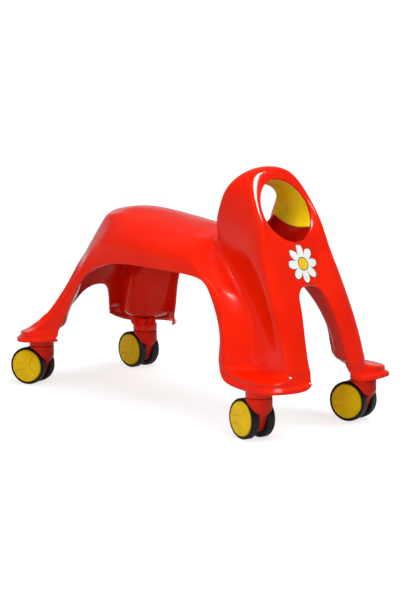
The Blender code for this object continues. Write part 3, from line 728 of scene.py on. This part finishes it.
def cap_surface(rings=72, steps=240):
    """Grid of radius by angle. The height is a dome h0 (1 - (r/R)^2), plus the rim ring,
    plus the arms: full height outside three bays u > start + spread v^2, where u runs
    out along the bay and v across it, as shares of the ring's radius. A fine groove
    exp(-(d / soft)^2) follows the edge of each bay."""
    radius = CAP_RADIUS * np.linspace(0.0, 1.0, rings)[:, None]
    angle = np.linspace(0.0, 2 * np.pi, steps, endpoint=False)[None, :]
    dome = CAP_DOME * (1.0 - (radius / CAP_RADIUS) ** 2)
    height = CAP_BACK + CAP_DEPTH + dome + 0.0 * angle
    arms = np.ones_like(height)
    groove = np.zeros_like(height)
    for bay in range(3):
        turn = angle - BAY_TURN - bay * 2 * np.pi / 3
        u = radius / RING_INNER * np.cos(turn)
        v = radius / RING_INNER * np.sin(turn)
        beyond = u - BAY_START - BAY_SPREAD * v ** 2
        arms *= 1.0 - step(beyond, -BAY_SOFT, BAY_SOFT)
        groove = np.maximum(groove, np.exp(-(beyond / BAY_SOFT) ** 2))
    inside = 1.0 - step(radius, RING_INNER - 0.8, RING_INNER - 0.2)
    height += (SWIRL_HEIGHT * arms - GROOVE_DEPTH * groove) * inside
    ring_up = step(radius, RING_INNER, RING_INNER + 0.7)
    height += RING_HEIGHT * ring_up - RIM_DROP * step(radius, CAP_RADIUS - 1.0, CAP_RADIUS)
    front = np.stack([radius * np.cos(angle), radius * np.sin(angle), height], axis=-1)
    rim = front[-1:].copy()
    rim[..., 2] = CAP_BACK
    hub = rim * (0.0, 0.0, 1.0)
    return np.vstack([front, rim, hub]).reshape(-1, 3), wrapped_faces(rings + 2, steps)


cap_points, cap_faces = cap_surface()
yellow_abs = moulded("satin moulded yellow ABS", "#F0C000", "#F6C804", (0.28, 0.38), 3.0,
                     0.03, 20.0, IOR=1.30)
for corner in SWIVELS:
    for side, hand in ((-1, "wheel_a"), (1, "wheel_b")):
        placing = swivel_frame(corner) @ axle_frame(side)
        body = corner + "_" + hand
        wheel = closed_piece("tyre_" + body, [(placed(wheel_points, placing), wheel_faces)])
        wheel.data.materials.append(black_rubber)
        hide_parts(body)
        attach(wheel, body)
        cap = closed_piece("hub_" + body, [(placed(cap_points, placing), cap_faces)])
        cap.data.materials.append(yellow_abs)
        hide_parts(body + "_cap")
        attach(cap, body)

# ---------------------------------------------------------------------------
# Studio: a round white paper sweep, flat under the toy and turned up into a low wall a
# long way off, with soft lamps, and a camera with a long lens low to the front right.
SWEEP_BEND = 2500.0
SWEEP_PROFILE = [(0.0, 0.0), (12000.0, 0.0), (16000.0, 0.0), (16000.0, 4500.0)]
points, faces = turned(rounded(SWEEP_PROFILE, SWEEP_BEND, 16), 96)
sweep = piece_from("paper_sweep", points * MM, faces)
bm = bmesh.new()
bm.from_mesh(sweep.data)
bmesh.ops.remove_doubles(bm, verts=bm.verts, dist=0.001)
bm.faces.ensure_lookup_table()
if bm.faces[0].normal.z < 0.0:
    bmesh.ops.reverse_faces(bm, faces=bm.faces)
bm.to_mesh(sweep.data)
bm.free()
sweep.data.shade_smooth()

# Matt paper: what the camera sees of it is lifted to white, and what reflections see of it
# less than half as far. The toy's shadow stays on it. The lift leans a touch towards red
# over a blue-green grey paper colour, and this paints a faint pink into that shadow: a
# painted red glow from the toy
GLOSS_SEES = 0.4
LIFT_NEAR, LIFT_FAR = 0.74, 1.0
material, tree, shader, place = new_material("matt white paper", Roughness=0.9)
# Blue-green grey, so that under the pink lift the shadow on the paper is painted faintly
# pink
shader.inputs["Base Color"].default_value = linear("#9DA6A6")
path = add(tree, "ShaderNodeLightPath")
dim = add(tree, "ShaderNodeMath", {0: path.outputs["Is Glossy Ray"]}, {1: GLOSS_SEES},
          operation="MULTIPLY").outputs["Value"]
seen = path.outputs["Is Camera Ray"]
for other in (dim, path.outputs["Is Transmission Ray"]):
    seen = add(tree, "ShaderNodeMath", {0: seen, 1: other},
               operation="MAXIMUM").outputs["Value"]
span = add(tree, "ShaderNodeVectorMath", {0: place}, operation="LENGTH").outputs["Value"]
white = add(tree, "ShaderNodeMapRange", {"Value": span},
            {"From Min": 0.8, "From Max": 5.0, "To Min": LIFT_NEAR, "To Max": LIFT_FAR})
glow = add(tree, "ShaderNodeMath", {0: seen, 1: white.outputs["Result"]},
           operation="MULTIPLY").outputs["Value"]
# Painted pink: red above one in the lift stands in for red light thrown from the toy into
# its shadow
shader.inputs["Emission Color"].default_value = (1.04, 1.0, 1.0, 1.0)
tree.links.new(glow, shader.inputs["Emission Strength"])
sweep.data.materials.append(material)

CEILING = 0.22
world = bpy.data.worlds.new("grey studio ceiling")
world.use_nodes = True
bpy.context.scene.world = world
sky = world.node_tree.nodes["Background"]
sky.inputs["Color"].default_value = (1.0, 1.0, 1.0, 1.0)
sky.inputs["Strength"].default_value = CEILING
LIT_HEIGHT = 0.2


def direction(azimuth, elevation):
    """Unit vector from the toy. Azimuth 0 is ahead of the toy and 90 degrees its left."""
    a, e = np.radians((azimuth, elevation))
    return Vector((np.sin(a) * np.cos(e), -np.cos(a) * np.cos(e), np.sin(e)))


def softbox(name, way, along, distance, size, power, **seen_by):
    """A rectangular lamp that faces a point above the toy's origin, from a
    direction, its long side along another vector."""
    data = bpy.data.lights.new(name, "AREA")
    data.shape = "RECTANGLE"
    data.size, data.size_y = size
    data.energy = power
    lamp = bpy.data.objects.new(name, data)
    bpy.context.scene.collection.objects.link(lamp)
    z = way.normalized()
    y = z.cross(along).normalized()
    x = y.cross(z)
    lamp.matrix_world = Matrix.Translation(Vector((0.0, 0.0, LIT_HEIGHT)) + z * distance) @ (
        Matrix((x, y, z)).transposed().to_4x4())
    for ray, on in seen_by.items():
        setattr(lamp, "visible_" + ray, on)


# Broad lamps light the colours. Small bright ones, seen only in the gloss, draw the
# white lines along the rounded edges.
LEVEL = Vector((1.0, 0.0, 0.0))
SOFTBOX_AWAY, WINDOW_AWAY = 2.6, 2.2
PANE_OFFSET = 0.1                # sideways from the middle of the window, as a slope
for name, way, size, power in (
        ("key softbox", direction(10.0, 68.0), (1.8, 1.8), 62.0),
        ("side softbox", direction(-80.0, 40.0), (1.6, 1.6), 18.0),
        ("low softbox", direction(-58.0, 10.0), (1.2, 0.5), 20.0)):
    softbox(name, way, LEVEL, SOFTBOX_AWAY, size, power, glossy=False)
first, last = direction(-2.0, 63.0), direction(46.0, 45.0)
middle = (first + last).normalized()
for pane in (-PANE_OFFSET, PANE_OFFSET):
    way = middle + pane * middle.cross(last - first).normalized()
    softbox("window pane", way, last - first, WINDOW_AWAY, (1.05, 0.36), 92.0,
            diffuse=False)
softbox("side window", direction(-96.0, 60.0), LEVEL, WINDOW_AWAY, (0.12, 0.12), 4.0,
        diffuse=False)

# Camera: a long lens. Its focal length is given in pixels of the picture's height
AIM = Vector((-0.0643, -0.0804, 0.15))
AWAY = 2.8258
FOCAL_PIXELS, PICTURE_HEIGHT = 2282.0, 600.0
SENSOR = 36.0
AZIMUTH, ELEVATION = np.radians((-39.43, 9.46))
back = Vector((np.sin(AZIMUTH) * np.cos(ELEVATION), -np.cos(AZIMUTH) * np.cos(ELEVATION),
               np.sin(ELEVATION)))
camera_data = bpy.data.cameras.new("camera")
camera_data.sensor_width = SENSOR
camera_data.lens = FOCAL_PIXELS * SENSOR / PICTURE_HEIGHT
camera = bpy.data.objects.new("camera", camera_data)
bpy.context.scene.collection.objects.link(camera)
camera.location = AIM + back * AWAY
camera.rotation_euler = (-back).to_track_quat("-Z", "Y").to_euler()
bpy.context.scene.camera = camera
bpy.context.scene.view_settings.view_transform = "Standard"
